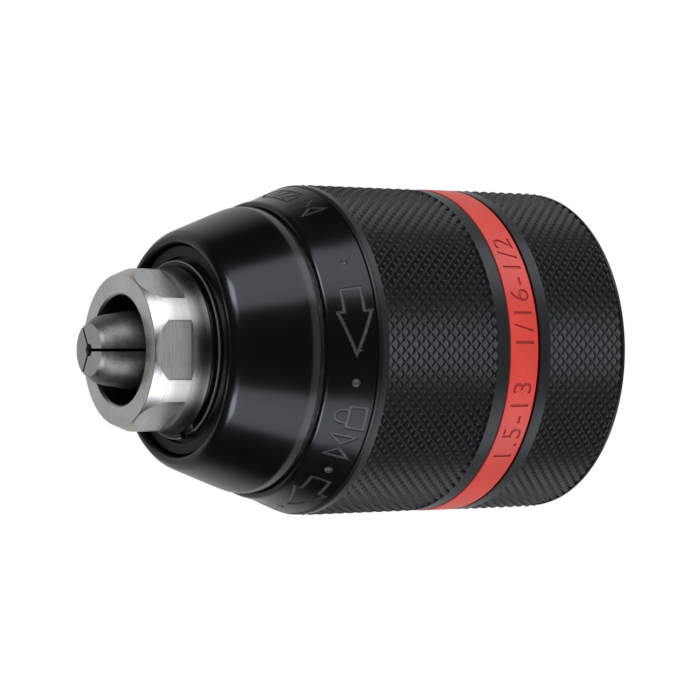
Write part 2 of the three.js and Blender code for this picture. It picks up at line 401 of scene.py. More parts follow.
def turned_steel(name, dark, light, roughness):
    """Turned steel: tool marks run around the axis, and the inside of the tool bore is painted dark
    as painted shade.
    """
    s = Surface(name, Metallic=1.0, Base_Color=grey(light))
    facing = s.facing_along()
    around = s.noise(s.vector(s.x * 0.07, s.y, s.z * 0.07), 5200.0, 3.0, 0.65)
    rings = s.noise(s.vector(s.radius(), 0.0, 0.0), 5200.0, 3.0, 0.65)
    marks = around * (1.0 - facing) + rings * facing
    cloud = s.noise(s.place, 210.0, 5.0)
    scuffs = s.noise(s.vector(s.x, s.y * 0.35, s.z), 1500.0, 4.0).between(0.6, 0.75)
    tone = marks * 0.5 + cloud * 0.5
    outside = s.radius().between((TOOL_BORE - 0.1) * MM, (TOOL_BORE + 0.25) * MM)
    corner = s.radius().between((NOSE_RADIUS - 0.19) * MM, (NOSE_RADIUS - 0.05) * MM)
    flats = (1.0 - s.facing_along(0.01, 0.06)) * (1.0 - corner)
    # Painted tint: the faces that reflect the softboxes are warmed to cancel the softboxes' cool
    # light.
    softbox_warming = (1.0 - flats) * (1.0 - facing)
    darks = s.blend_colours(softbox_warming, grey(dark), grey(dark, WARM_TINT))
    lights = s.blend_colours(softbox_warming, grey(light), grey(light, WARM_TINT))
    bright = s.blend_colours(tone.between(0.34, 0.66), darks, lights)
    # Painted shade in the hollow behind the flats, with a lighter darkening on the lands between
    # them.
    nose_darkened = s.blend_colours(s.nose_darkening(), bright, grey(0.02))
    # Painted shade: everything inside the tool bore's radius, the locking screw included, is painted
    # dark grey.
    s.feed("Base Color", s.blend_colours(outside, grey(0.16), nose_darkened))
    s.feed("Roughness", tone * 0.24 + scuffs * 0.08 + (roughness - 0.12))
    s.bump(marks + scuffs * 0.25, 0.00002, 0.6)
    return s.material


def ground_steel(name):
    """Hardened jaws: lengthwise grinding marks and faint oil clouds."""
    s = Surface(name, Metallic=1.0, Base_Color=grey(0.5))
    marks = s.noise(s.vector(s.x * 5.0, s.y * 0.35, s.z * 5.0), 2600.0, 3.0, 0.65)
    cloud = s.noise(s.place, 320.0, 5.0)
    tone = marks * 0.5 + cloud * 0.5
    side = s.blend_colours(tone.between(0.3, 0.7), grey(0.13, WARM_TINT), grey(0.3, WARM_TINT))
    tip = s.blend_colours(tone.between(0.3, 0.7), grey(0.42), grey(0.6))
    s.feed("Base Color", s.blend_colours(s.facing_along(), side, tip))
    s.feed("Roughness", tone * 0.30 + 0.28)
    s.bump(marks + cloud * 0.5, 0.00002, 0.7)
    return s.material


def polished_black(name):
    """Polished black cover: deep gloss with hairline polishing marks around the axis."""
    s = Surface(name, Base_Color=grey(0.004), IOR=1.5)
    hairlines = s.noise(s.vector(s.radius(), s.y, 0.0), 16000.0, 2.0, 0.6)
    haze = s.noise(s.place, 90.0, 4.0)
    dust = s.noise(s.place, 1500.0, 3.0).between(0.62, 0.8)
    s.feed("Base Color", s.blend_colours(dust * 0.25 + haze * 0.3, grey(0.002), grey(0.008)))
    s.feed("Roughness", hairlines * 0.08 + haze * 0.10 + 0.11)
    s.bump(hairlines + haze * 0.8, 0.000004, 0.4)
    return s.material


def moulded_black(name):
    """Satin black of the smooth rims: fine grain and a faint cloudiness from handling."""
    s = Surface(name, Base_Color=grey(0.006), IOR=1.39)
    grain = s.noise(s.place, 4200.0, 4.0, 0.6)
    cloud = s.noise(s.place, 140.0, 4.0)
    s.feed("Base Color", s.blend_colours(cloud, grey(0.003), grey(0.010, COOL_TINT)))
    s.feed("Roughness", grain * 0.12 + cloud * 0.10 + 0.22)
    s.bump(grain, 0.00001, 0.4)
    return s.material


def knurled_black(name):
    """Satin black of the diamonds: crests rubbed smooth and grey, dust in the grooves."""
    s = Surface(name, Base_Color=grey(0.02), IOR=1.44)
    grain = s.noise(s.place, 3800.0, 4.0, 0.6)
    cloud = s.noise(s.place, 120.0, 4.0)
    crest = s.radius().between((GRIP_CREST - 0.16) * MM, GRIP_CREST * MM)
    worn = crest * 0.75 + cloud * 0.25
    s.feed("Base Color", s.blend_colours(worn, grey(0.003), grey(0.023, COOL_TINT)))
    s.feed("Roughness", grain * 0.14 + cloud * 0.08 - crest * 0.04 + 0.22)
    s.bump(grain, 0.000012, 0.5)
    return s.material


def engraved_black(name):
    """Floor of an engraved mark: matt and greyer than the polish around it, partly its own tone and
    partly painted highlight.
    """
    s = Surface(name, Base_Color=grey(0.015), IOR=1.5)
    grain = s.noise(s.place, 5200.0, 4.0, 0.6)
    specks = grain.between(0.35, 0.65)
    # The grey floor is partly the mark's own matt tone and partly painted highlight for the light
    # the line edges catch.
    s.feed("Base Color", s.blend_colours(specks, grey(0.03), grey(0.075, COOL_TINT)))
    s.feed("Roughness", grain * 0.2 + 0.22)
    s.bump(grain, 0.00002, 0.6)
    return s.material


def engraved_red(name):
    """Satin red ring: the size marks are cut below the face and are painted darker, as painted
    shade.
    """
    s = Surface(name, Base_Color=(0.7, 0.05, 0.035, 1.0), IOR=1.46)
    grain = s.noise(s.place, 3800.0, 3.0)
    cloud = s.noise(s.place, 150.0, 4.0)
    below = 1.0 - s.radius().between((RING_RADIUS - 0.12) * MM, (RING_RADIUS - 0.05) * MM)
    deep, light, cut = (0.5, 0.033, 0.019, 1.0), (0.56, 0.04, 0.024, 1.0), (0.37, 0.023, 0.014, 1.0)
    face = s.blend_colours(cloud.between(0.35, 0.65), deep, light)
    # Painted shade: the numerals cut below the face are painted a darker red.
    s.feed("Base Color", s.blend_colours(below, face, cut))
    s.feed("Roughness", grain * 0.12 + cloud * 0.08 + below * 0.15 + 0.30)
    s.bump(grain, 0.000006, 0.35)
    return s.material


def blackened_steel(name, dark, light, roughness):
    """Blackened steel with a stamped grain; the circlip's front outer corner is painted light grey
    as a painted highlight.
    """
    s = Surface(name, Metallic=0.75, Base_Color=grey(light))
    grain = s.noise(s.place, 2600.0, 4.0, 0.6)
    cloud = s.noise(s.place, 260.0, 5.0)
    specks = grain.between(0.66, 0.78)
    outer = s.radius().between((CLIP_RADIUS - 0.16) * MM, (CLIP_RADIUS - 0.08) * MM)
    corner = outer * (1.0 - s.y.between(along(CLIP_FRONT + 0.16), along(CLIP_FRONT + 0.24)))
    black = s.blend_colours(cloud * 0.7 + specks * 0.3, grey(dark), grey(light))
    # Painted highlight: the circlip's front outer corner is painted light grey.
    s.feed("Base Color", s.blend_colours(corner, black, grey(0.26)))
    s.feed("Roughness", cloud * 0.2 + (roughness - 0.08))
    s.bump(grain, 0.000012, 0.4)
    return s.material


def cage_brass(name):
    """Stamped brass with a faint tarnish."""
    s = Surface(name, Metallic=1.0, Base_Color=(0.5, 0.34, 0.12, 1.0))
    cloud = s.noise(s.place, 300.0, 5.0)
    tones = s.blend_colours(cloud.between(0.3, 0.7), (0.38, 0.25, 0.09, 1.0), (0.6, 0.42, 0.16, 1.0))
    s.feed("Base Color", tones)
    s.feed("Roughness", cloud * 0.3 + 0.2)
    s.bump(s.noise(s.place, 2000.0), 0.00001, 0.3)
    return s.material


BODY_STEEL = turned_steel("body_steel", 0.54, 0.77, 0.35)
JAW_STEEL = ground_steel("jaw_steel")
RACE_STEEL = turned_steel("race_steel", 0.5, 0.7, 0.24)
NUT_STEEL = turned_steel("nut_steel", 0.25, 0.4, 0.36)
COVER_BLACK = polished_black("cover_black")
GRIP_BLACK = moulded_black("grip_black")
KNURL_BLACK = knurled_black("knurl_black")
MARK_BLACK = engraved_black("mark_black")
RING_RED = engraved_red("ring_red")
CLIP_BLACK = blackened_steel("clip_black", 0.006, 0.02, 0.28)
DISC_GREY = blackened_steel("disc_grey", 0.008, 0.025, 0.42)
CAGE_BRASS = cage_brass("cage_brass")


# ------------------------------------------------------------------ body

def thread_grid(name, major, minor, pitch, front, rear, outer, segments=96, per_turn=12):
    """Tube with a helical thread on its inside."""
    rows = int((rear - front) / pitch * per_turn)

    def build(work):
        inner = []
        for row in range(rows + 1):
            station = front + (rear - front) * row / rows
            ring = []
            for k in range(segments):
                phase = (station / pitch - k / segments) % 1.0
                flank = 1 - abs(2 * phase - 1)
                depth = min(max((flank - 0.12) / 0.76, 0.0), 1.0)
                radius = (minor + (major - minor) * depth) * MM
                angle = TAU * k / segments
                ring.append(work.verts.new((radius * math.cos(angle), along(station),
                                            radius * math.sin(angle))))
            inner.append(ring)
        shell = []
        for station in (front, rear):
            shell.append([work.verts.new((outer * MM * math.cos(TAU * k / segments), along(station),
                                          outer * MM * math.sin(TAU * k / segments)))
                          for k in range(segments)])
        strips = inner + [shell[1], shell[0], inner[0]]
        for first, second in zip(strips, strips[1:]):
            for k in range(segments):
                n = (k + 1) % segments
                work.faces.new([first[k], first[n], second[n], second[k]])
    return mesh_from(build, name)


def flat_cutter(inner, outer, bow=0.6, half_width=7.0, steps=12):
    """Cutter for one wrench flat, facing +X; its rear end bows backwards in the middle."""
    def build(work):
        outline = [(-half_width, -1.0), (half_width, -1.0)]
        for k in range(steps + 1):
            z = half_width * (1 - 2 * k / steps)
            outline.append((z, FLAT_END + 0.1 - bow * (z / FLAT_HALF_WIDTH) ** 2))
        rings = [[work.verts.new((x * MM, along(s), z * MM)) for z, s in outline]
                 for x in (inner, outer)]
        work.faces.new(rings[0])
        work.faces.new(rings[1])
        count = len(outline)
        for k in range(count):
            n = (k + 1) % count
            work.faces.new([rings[0][k], rings[0][n], rings[1][n], rings[1][k]])
    return mesh_from(build, "flat_cutter")


def make_body():
    floor = BODY_LENGTH - SPINDLE_DEPTH
    profile = rounded([
        (TOOL_BORE + 0.28, 0.0, 0.05), (9.44, 0.0, 0.1), (NOSE_RADIUS, 1.85, 0.1),
        (NOSE_RADIUS, 5.3, 0), (10.22, 5.7, 0), (10.29, 6.15, 0), (10.4, 6.6, 0), (10.56, 7.05, 0),
        (SPIGOT, 7.25, 0.05), (SPIGOT, 7.45, 0.06),
        (9.92, 7.8, 0), (9.92, 8.7, 0), (SPIGOT, 8.7, 0.05), (SPIGOT, 9.95, 0), (12.58, 9.95, 0.2),
        (13.58, 15.0, 0.1), (9.8, 15.0, 0), (9.8, 21.1, 0), (12.78, 21.1, 0.1), (12.78, 25.1, 0),
        (17.58, 25.1, 0.2), (18.48, 26.7, 0.2), (18.48, 46.0, 0.2), (17.48, 47.0, 0.2),
        (HUB, 47.0, 0), (HUB, 63.1, 0.25), (12.4, 63.99, 0.15), (7.1, 63.99, 0.1),
        (SPINDLE_MAJOR, 63.1, 0), (SPINDLE_MAJOR, floor, 0), (3.2, floor, 0.1),
        (3.2, TOOL_BORE_DEPTH, 0.1), (TOOL_BORE, TOOL_BORE_DEPTH, 0), (TOOL_BORE, 0.3, 0.05),
    ])
    body = new_piece("body_shell", turned("body_shell", profile, 240), BODY_STEEL)
    half = ACROSS_FLATS / 2
    tools = [spun(flat_cutter(half, half + 4), 60 * k) for k in range(6)]
    for azimuth in JAW_AZIMUTHS.values():
        tools.append(spun(leaning_bar(JAW_RADIUS + 0.12, -6, 60), azimuth))
    carve(body, tools)
    break_edges(body, 0.09, angle=12, segments=1, crisp=8)
    finish_piece(body, "body", ["chuck_body"])

    thread = thread_grid("spindle_thread", SPINDLE_MAJOR - 0.04, SPINDLE_MINOR, SPINDLE_PITCH,
                         floor + 0.4, 63.2, SPINDLE_MAJOR - 0.01)
    finish_piece(new_piece("spindle_thread", thread, BODY_STEEL), "body")


def make_locking_screw():
    head = TOOL_BORE_DEPTH - 3.8
    profile = rounded([
        (0, head, 0), (4.58, head, 0.35), (4.58, head + 3.65, 0), (2.9, head + 3.65, 0),
        (2.9, 52.1, 0.1), (2.2, 52.75, 0.1), (0, 52.75, 0),
    ])
    screw = new_piece("locking_screw_visual", turned("locking_screw", profile, 64), NUT_STEEL)
    socket = [(2.5 * math.cos(TAU * k / 6), 2.5 * math.sin(TAU * k / 6)) for k in range(6)]
    carve(screw, [prism("hex_socket", socket, head - 1, head + 2.2)])
    break_edges(screw, 0.08)
    finish_piece(screw, "body", ["locking_screw"])


# ------------------------------------------------------------------ jaws

def jaw_thread(azimuth):
    """Cutters for the thread run on a jaw's back, each jaw a third of a turn on from the last."""
    tools = []
    first, last = JAW_THREAD_RUN
    station = first + (-JAW_THREAD_PITCH * azimuth / 360) % JAW_THREAD_PITCH
    while station < last:
        back = JAW_AT_NOSE + JAW_SLOPE * station + JAW_RADIUS * math.hypot(1, JAW_SLOPE)
        root, clear = back - JAW_THREAD_DEPTH, back + 1.2
        groove = [(root, station - 0.15), (clear, station - 1.25), (clear, station + 1.25),
                  (root, station + 0.15)]
        tools.append(turned("jaw_thread_groove", groove, 144))
        station += JAW_THREAD_PITCH
    return tools


def make_jaws():
    apex = JAW_SPLIT / math.sin(math.pi / 3)
    reach = 6 * math.sqrt(3)
    wedge = [(apex, 0), (apex + 6, -reach), (20, -reach), (20, reach), (apex + 6, reach)]
    front = rounded([
        (0, JAW_TIP, 0), (3.3, JAW_TIP, 0), (3.54, -3.62, 0), (4.28, -2.68, 0), (6.0, 9.0, 0),
        (24, 9.0, 0), (24, 40, 0), (0, 40, 0),
    ])
    for name, azimuth in JAW_AZIMUTHS.items():
        jaw = new_piece(f"{name}_visual", leaning_bar(JAW_RADIUS, -9, JAW_TAIL, 128), JAW_STEEL)
        carve(jaw, [prism("jaw_wedge", wedge, -9, 30), turned("jaw_front", front, 192)], "INTERSECT")
        bore = turned("centre_bore", [(0, -6), (0.78, -6), (0.78, 3), (0, 3.4)], 32)
        carve(jaw, [bore] + jaw_thread(azimuth))
        jaw.data = spun(jaw.data, azimuth)
        break_edges(jaw, 0.12, angle=16, segments=1, crisp=10)
        finish_piece(jaw, JAW_BODIES[name], [name])


# ------------------------------------------------------------------ front closure

def make_circlip():
    mouth = math.radians(CLIP_MOUTH)
    centre = math.radians(CLIP_MOUTH_AZIMUTH)
    section = rounded([
        (CLIP_BORE, CLIP_FRONT, 0.06), (CLIP_RADIUS, CLIP_FRONT, 0.12),
        (CLIP_RADIUS, CLIP_REAR, 0.12), (CLIP_BORE, CLIP_REAR, 0.06),
    ], 3)
    steps = 160

    def build(work):
        rings = []
        for k in range(steps + 1):
            angle = centre + mouth / 2 + (TAU - mouth) * k / steps
            rings.append([
                work.verts.new((r * MM * math.cos(angle), along(s), r * MM * math.sin(angle)))
                for r, s in section
            ])
        count = len(section)
        for first, second in zip(rings, rings[1:]):
            for k in range(count):
                n = (k + 1) % count
                work.faces.new([first[k], first[n], second[n], second[k]])
        work.faces.new(rings[0])
        work.faces.new(rings[-1])
    clip = new_piece("circlip_visual", mesh_from(build, "circlip"), CLIP_BLACK)
    break_edges(clip, 0.06, angle=50)
    finish_piece(clip, "body", ["circlip"])


def make_front_disc():
    profile = rounded([
        (10.74, 9.3, 0), (11.75, 9.3, 0), (11.75, 8.77, 0.08), (13.18, 8.77, 0.08), (13.18, 9.8, 0),
        (10.74, 9.8, 0),
    ])
    disc = new_piece("front_disc_visual", turned("front_disc", profile), DISC_GREY)
    finish_piece(disc, "body", ["front_disc"])


def make_front_cap():
    profile = rounded([
        (13.45, 9.1, 0.1), (13.45, 8.25, 0.4), (13.75, 7.8, 0.3), (14.35, 7.8, 0.35),
        (15.1, 8.55, 0.8), (15.65, 9.9, 0.6), (17.75, 15.3, 1.0), (18.3, 16.85, 0.4),
        (18.34, 18.33, 0.22), (17.07, 18.33, 0), (17.07, 15.0, 0),
        (16.2, 15.0, 0), (14.5, 10.0, 0),
    ], 6)
    cap = new_piece("front_cap_visual", turned("front_cap", profile, 240), COVER_BLACK)
    finish_piece(cap, "front_sleeve", ["front_cap"])


# ------------------------------------------------------------------ engraving

MARK_WIDTH = 0.4
MARK_DEPTH = 0.2
MARK_STATION = 22.3
CUTTER_RISE = 0.3
DIMPLE_RADIUS = 0.62
DIMPLE_LIFT = 0.32
COLLAR_FACE = [(18.9, 19.03), (20.14, 19.3), (21.15, 19.63), (22.15, 20.02), (23.16, 20.47),
               (24.7, 21.1)]


def collar_face(station):
    """Radius of the marker collar's face at a station."""
    for (front, first), (rear, second) in zip(COLLAR_FACE, COLLAR_FACE[1:]):
        if station <= rear:
            return first + (second - first) * (station - front) / (rear - front)
    return COLLAR_FACE[-1][1]


def wrapped(point, azimuth, station, surface):
    """Puts (across, along, lift) millimetres on a turned surface about an azimuth and station."""
    across, down, lift = point
    s = station + down
    base = surface(s)
    angle = math.radians(azimuth) + across / surface(station)
    radius = (base + lift) * MM
    return Vector((radius * math.cos(angle), along(s), radius * math.sin(angle)))


def stroke(path, azimuth, closed):
    """Cutter for an engraved line: a square bar that follows a path on the collar's face."""
    fine = []
    pairs = list(zip(path, path[1:] + path[:1])) if closed else list(zip(path, path[1:]))
    for a, b in pairs:
        a, b = Vector(a), Vector(b)
        pieces = max(1, round((b - a).length / 0.5))
        fine += [a.lerp(b, k / pieces) for k in range(pieces)]
    if not closed:
        fine.append(Vector(path[-1]))

    def build(work):
        rings = []
        count = len(fine)
        for k, here in enumerate(fine):
            before = fine[k - 1] if closed or k else here
            after = fine[(k + 1) % count] if closed or k < count - 1 else here
            first = (here - before).normalized()
            second = (after - here).normalized()
            heading = (first + second).normalized()
            side = Vector((-heading.y, heading.x))
            turn = side.dot(Vector((-second.y, second.x))) if second.length else 1.0
            spread = side * (MARK_WIDTH / 2 / max(0.5, turn))
            corners = [(here - spread, -MARK_DEPTH), (here + spread, -MARK_DEPTH),
                       (here + spread, CUTTER_RISE), (here - spread, CUTTER_RISE)]
            rings.append([
                work.verts.new(wrapped((p.x, p.y, lift), azimuth, MARK_STATION, collar_face))
                for p, lift in corners
            ])
        joins = list(zip(rings, rings[1:] + rings[:1])) if closed else list(zip(rings, rings[1:]))
        for first, second in joins:
            for k in range(4):
                n = (k + 1) % 4
                work.faces.new([first[k], first[n], second[n], second[k]])
        if not closed:
            work.faces.new(rings[0])
            work.faces.new(rings[-1])
    return mesh_from(build, "stroke")


def arrow_path(heading):
    """Outline of a broad arrow; heading -1 points towards falling azimuths, +1 towards rising."""
    tail, neck, tip = 4.1, 1.1, -4.3
    half_shaft, half_head = 1.15, 2.0
    outline = [(tail, -half_shaft), (tail, half_shaft), (neck, half_shaft), (neck, half_head),
               (tip, 0.0), (neck, -half_head), (neck, -half_shaft)]
    return [(-heading * across, down) for across, down in outline]


def padlock(shut):
    """Padlock in two strokes: its body, and a shackle that is down or lifted on one side."""
    body = [(-1.4, 0.0), (1.4, 0.0), (1.4, 2.0), (-1.4, 2.0)]
    arc = [(-0.85 * math.cos(math.pi * k / 8), -0.8 - 0.85 * math.sin(math.pi * k / 8))
           for k in range(9)]
    shackle = [(-0.85, -0.1)] + arc + ([(0.85, -0.1)] if shut else [])
    return [(body, True), (shackle, False)]


def jaw_triangles(inwards):
    """Two triangles that face each other for closing, or face apart for opening."""
    near, far = (0.35, 1.55) if inwards else (1.55, 0.35)
    left = [(-far, -1.5), (-far, 1.5), (-near, 0.0)]
    return [(left, True), ([(-across, down) for across, down in left], True)]


def drill_bit():
    """Twist drill seen from the side: its outline and three flute lines."""
    outline = [(-3.7, -1.1), (2.0, -1.1), (3.8, 0.0), (2.0, 1.1), (-3.7, 1.1)]
    flutes = [([(start, 0.75), (start + 1.5, -0.75)], False) for start in (-3.1, -1.3, 0.5)]
    return [(outline, True)] + flutes


def dimple(azimuth):
    """Cutter for a round dimple: a small ball half sunk in the face."""
    def build(work):
        centre = wrapped((0.0, 0.0, DIMPLE_LIFT), azimuth, MARK_STATION, collar_face)
        bmesh.ops.create_uvsphere(work, u_segments=20, v_segments=12, radius=DIMPLE_RADIUS * MM,
                                  matrix=Matrix.Translation(centre))
    return mesh_from(build, "dimple")


def collar_marks():
    """Closing marks on the half that faces +X, opening marks on the other half."""
    closing = {
        84: drill_bit(), 64: jaw_triangles(True), 10.6: [(arrow_path(-1), True)],
        -24.5: padlock(True), -36.5: jaw_triangles(True), -65.5: [(arrow_path(-1), True)],
        -98: padlock(True),
    }
    opening = {
        124: [(arrow_path(1), True)], 157: padlock(False), 169.5: jaw_triangles(False),
        202: [(arrow_path(1), True)], 237: drill_bit(),
    }
    tools = [dimple(azimuth) for azimuth in (104, 32.5, -11.6, -48, -84, -110, 144, 182, 222)]
    for azimuth, strokes in {**closing, **opening}.items():
        for path, closed in strokes:
            tools.append(stroke(path, azimuth, closed))
    return tools


def make_marker_collar():
    profile = [(18.12, 18.95), (18.28, 18.77), (18.5, 18.72), (18.72, 18.77), (18.9, 18.9),
               (19.02, 19.08), (19.1, 19.3), (19.17, 19.6)]
    profile += [(radius, station) for station, radius in COLLAR_FACE[1:]]
    profile += [(21.05, 24.74), (19.45, 24.74), (18.12, 19.5)]
    collar = new_piece("marker_collar_visual", turned("marker_collar", profile, 288), COVER_BLACK)
    carve(collar, collar_marks())
    shade(collar.data, 30)
    line_grooves(collar.data, collar_face, COLLAR_FACE[0][0] + 0.3, MARK_BLACK)
    finish_piece(collar, "front_sleeve", ["marker_collar"])


def numerals(text, azimuth):
    """Cutter for the ring's engraved numerals, which read upwards, their tops towards the nose."""
    curve = bpy.data.curves.new("numerals", "FONT")
    curve.body = text
    curve.size = NUMERAL_HEIGHT / CAPITAL_SHARE
    curve.extrude = 0.5
    curve.align_x = "CENTER"
    curve.align_y = "CENTER"
    curve.resolution_u = 4
    curve.space_character = 1.15
    holder = bpy.data.objects.new("numerals", curve)
    bpy.context.scene.collection.objects.link(holder)
    graph = bpy.context.evaluated_depsgraph_get()
    mesh = bpy.data.meshes.new_from_object(holder.evaluated_get(graph))
    bpy.data.objects.remove(holder, do_unlink=True)
    for vertex in mesh.vertices:
        x, y, z = vertex.co
        lift = CUTTER_RISE if z > 0 else -NUMERAL_DEPTH
        vertex.co = wrapped((x, -y, lift), azimuth, NUMERAL_STATION, lambda station: RING_RADIUS)
    work = bmesh.new()
    work.from_mesh(mesh)
    bmesh.ops.remove_doubles(work, verts=work.verts, dist=1e-8)
    bmesh.ops.recalc_face_normals(work, faces=work.faces)
    work.to_mesh(mesh)
    work.free()
    return mesh


def make_size_ring():
    profile = rounded([
        (COVER_BORE, RING_FRONT, 0), (RING_RADIUS, RING_FRONT, 0.1),
        (RING_RADIUS, RING_REAR, 0.1), (COVER_BORE, RING_REAR, 0),
    ])
    ring = new_piece("size_ring_visual", turned("size_ring", profile, 360), RING_RED)
    tools = []
    for turn in (0, 180):
        tools.append(numerals("1.5-13", turn - 26.2))
        tools.append(numerals("1/16-1/2", turn + 21.2))
    carve(ring, tools)
    shade(ring.data, 30)
    finish_piece(ring, "front_sleeve", ["size_ring"])


# ------------------------------------------------------------------ knurled sleeves

def knurl_tree():
    """Geometry Nodes: rows of diamonds around the chuck axis, every second row half a step on."""
    tree = bpy.data.node_groups.new("diamond_knurl", "GeometryNodeTree")
    face = tree.interface
    face.new_socket("Geometry", in_out="INPUT", socket_type="NodeSocketGeometry")
    for name, kind in (("Crest Radius", "Float"), ("Relief", "Float"), ("First Row", "Float"),
                       ("Row Step", "Float"), ("Rows", "Int"), ("Around", "Int"),
                       ("Half Length", "Float"), ("Half Width", "Float")):
        face.new_socket(name, in_out="INPUT", socket_type=f"NodeSocket{kind}")
    face.new_socket("Finish", in_out="INPUT", socket_type="NodeSocketMaterial")
    face.new_socket("Geometry", in_out="OUTPUT", socket_type="NodeSocketGeometry")

    def node(kind, settings=None, sockets=None):
        return add_node(tree, kind, settings, sockets)

    def maths(operation, first, second=0.0):
        return node("ShaderNodeMath", {"operation": operation}, {0: first, 1: second}).outputs[0]

    given = node("NodeGroupInput").outputs
    total = maths("MULTIPLY", given["Rows"], given["Around"])
    points = node("GeometryNodeMeshLine", {}, {"Count": total})
    number = node("GeometryNodeInputIndex").outputs[0]
    row = maths("FLOOR", maths("DIVIDE", maths("ADD", number, 0.5), given["Around"]))
    column = maths("SUBTRACT", number, maths("MULTIPLY", row, given["Around"]))
    stagger = maths("MULTIPLY", maths("MODULO", row, 2.0), 0.5)
    share = maths("DIVIDE", maths("ADD", column, stagger), given["Around"])
    angle = maths("MULTIPLY", share, TAU)
    outward = node("ShaderNodeCombineXYZ", {}, {
        "X": maths("COSINE", angle), "Y": 0.0, "Z": maths("SINE", angle),
    }).outputs[0]
    root = maths("SUBTRACT", given["Crest Radius"], given["Relief"])
    place = node("ShaderNodeVectorMath", {"operation": "SCALE"}, {"Vector": outward, "Scale": root})
    station = maths("ADD", given["First Row"], maths("MULTIPLY", row, given["Row Step"]))
    shift = node("ShaderNodeCombineXYZ", {}, {"Y": station}).outputs[0]
    spot = node("ShaderNodeVectorMath", {"operation": "ADD"}, {0: place.outputs[0], 1: shift})
    placed = node("GeometryNodeSetPosition", {}, {"Geometry": points.outputs[0],
                                                  "Position": spot.outputs[0]})
    upright = node("FunctionNodeAlignRotationToVector", {"axis": "Z"}, {"Vector": outward})
    squared = node("FunctionNodeAlignRotationToVector", {"axis": "X", "pivot_axis": "Z"}, {
        "Rotation": upright.outputs[0], "Vector": (0.0, 1.0, 0.0),
    })
    diamond = node("GeometryNodeMeshCone", {"fill_type": "NGON"}, {
        "Vertices": 4, "Radius Top": 0.13, "Radius Bottom": 1.0, "Depth": given["Relief"],
    })
    size = node("ShaderNodeCombineXYZ", {}, {
        "X": given["Half Length"], "Y": given["Half Width"], "Z": 1.0,
    })
    copies = node("GeometryNodeInstanceOnPoints", {}, {
        "Points": placed.outputs[0], "Instance": diamond.outputs["Mesh"],
        "Rotation": squared.outputs[0], "Scale": size.outputs[0],
    })
    solid = node("GeometryNodeRealizeInstances", {}, {"Geometry": copies.outputs[0]})
    finished = node("GeometryNodeSetMaterial", {}, {"Geometry": solid.outputs[0],
                                                    "Material": given["Finish"]})
    joined = node("GeometryNodeJoinGeometry")
    tree.links.new(given["Geometry"], joined.inputs[0])
    tree.links.new(finished.outputs[0], joined.inputs[0])
    leave = node("NodeGroupOutput")
    tree.links.new(joined.outputs[0], leave.inputs[0])
    return tree


def knurled(piece, tree, crest, zone, finish):
    """Covers a zone of a sleeve with diamonds cut down from its crest radius."""
    rows = round((zone[1] - zone[0]) / (KNURL_PITCH / 2))
    step = (zone[1] - zone[0]) / rows
    around = round(TAU * crest / KNURL_PITCH)
    values = {
        "Crest Radius": crest * MM, "Relief": KNURL_RELIEF * MM,
        "First Row": along(zone[0] + step / 2), "Row Step": step * MM, "Rows": rows,
        "Around": around, "Half Length": step * MM * KNURL_FILL,
        "Half Width": TAU * crest / around / 2 * MM * KNURL_FILL, "Finish": finish,
    }
    modifier = piece.modifiers.new("knurl", "NODES")
    modifier.node_group = tree
    for item in tree.interface.items_tree:
        if item.in_out == "INPUT" and item.name in values:
            modifier[item.identifier] = values[item.name]
    piece.data = evaluated_mesh(piece)
    shade(piece.data, 20)


def make_sleeves():
    tree = knurl_tree()
    floor = GRIP_CREST - KNURL_RELIEF
    front, rear = GRIP_KNURL
    grip = rounded([
        (COVER_BORE, 24.92, 0), (21.12, 24.92, 0.1), (GRIP_RIM, 25.3, 0.15),
        (GRIP_RIM, front - 0.05, 0), (floor, front, 0), (floor, rear - 0.4, 0),
        (GRIP_RIM + 0.04, rear - 0.35, 0), (GRIP_RIM + 0.04, 44.68, 0.12), (COVER_BORE, 44.68, 0),
    ])
    sleeve = new_piece("grip_sleeve_visual", turned("grip_sleeve", grip, 240), GRIP_BLACK)
    knurled(sleeve, tree, GRIP_CREST, GRIP_KNURL, KNURL_BLACK)
    finish_piece(sleeve, "front_sleeve", ["grip_sleeve"])

    floor = REAR_CREST - KNURL_RELIEF
    front, rear = REAR_KNURL
    rim = REAR_CREST - 0.06
    back = rounded([
        (COVER_BORE, 49.52, 0), (rim, 49.52, 0.12), (rim, front - 0.05, 0), (floor, front, 0),
        (floor, rear, 0), (rim - 0.05, rear + 0.12, 0.1), (rim - 0.1, 63.58, 0.35),
        (16.15, 63.58, 0.2), (16.15, 60.8, 0), (COVER_BORE, 60.8, 0),
    ])
    sleeve = new_piece("rear_sleeve_visual", turned("rear_sleeve", back, 240), GRIP_BLACK)
    knurled(sleeve, tree, REAR_CREST, REAR_KNURL, KNURL_BLACK)
    finish_piece(sleeve, "body", ["rear_sleeve"])

    bush = rounded([(13.47, 58.6, 0), (15.93, 58.6, 0), (15.93, 63.28, 0.15), (13.47, 63.28, 0.15)])
    piece = new_piece("rear_bush_visual", turned("rear_bush", bush), BODY_STEEL)
    finish_piece(piece, "body", ["rear_bush"])


# ------------------------------------------------------------------ pieces kept from the frame

def dress_inner_pieces():
    """Gives the hidden inner pieces, which are the frame's own meshes, their finishes."""
    finishes = {
        "thrust_race": RACE_STEEL, "nut_half_upper": NUT_STEEL, "nut_half_lower": NUT_STEEL,
        "nut_band": BODY_STEEL, "sleeve_carrier": BODY_STEEL, "ball_cage": CAGE_BRASS,
    }
    for name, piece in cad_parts.items():
        finish = RACE_STEEL if name.startswith("bearing_ball") else finishes.get(name)
        if finish is None:
            continue
        for slot in piece.material_slots:
            slot.link = "OBJECT"
            slot.material = finish


# ------------------------------------------------------------------ studio

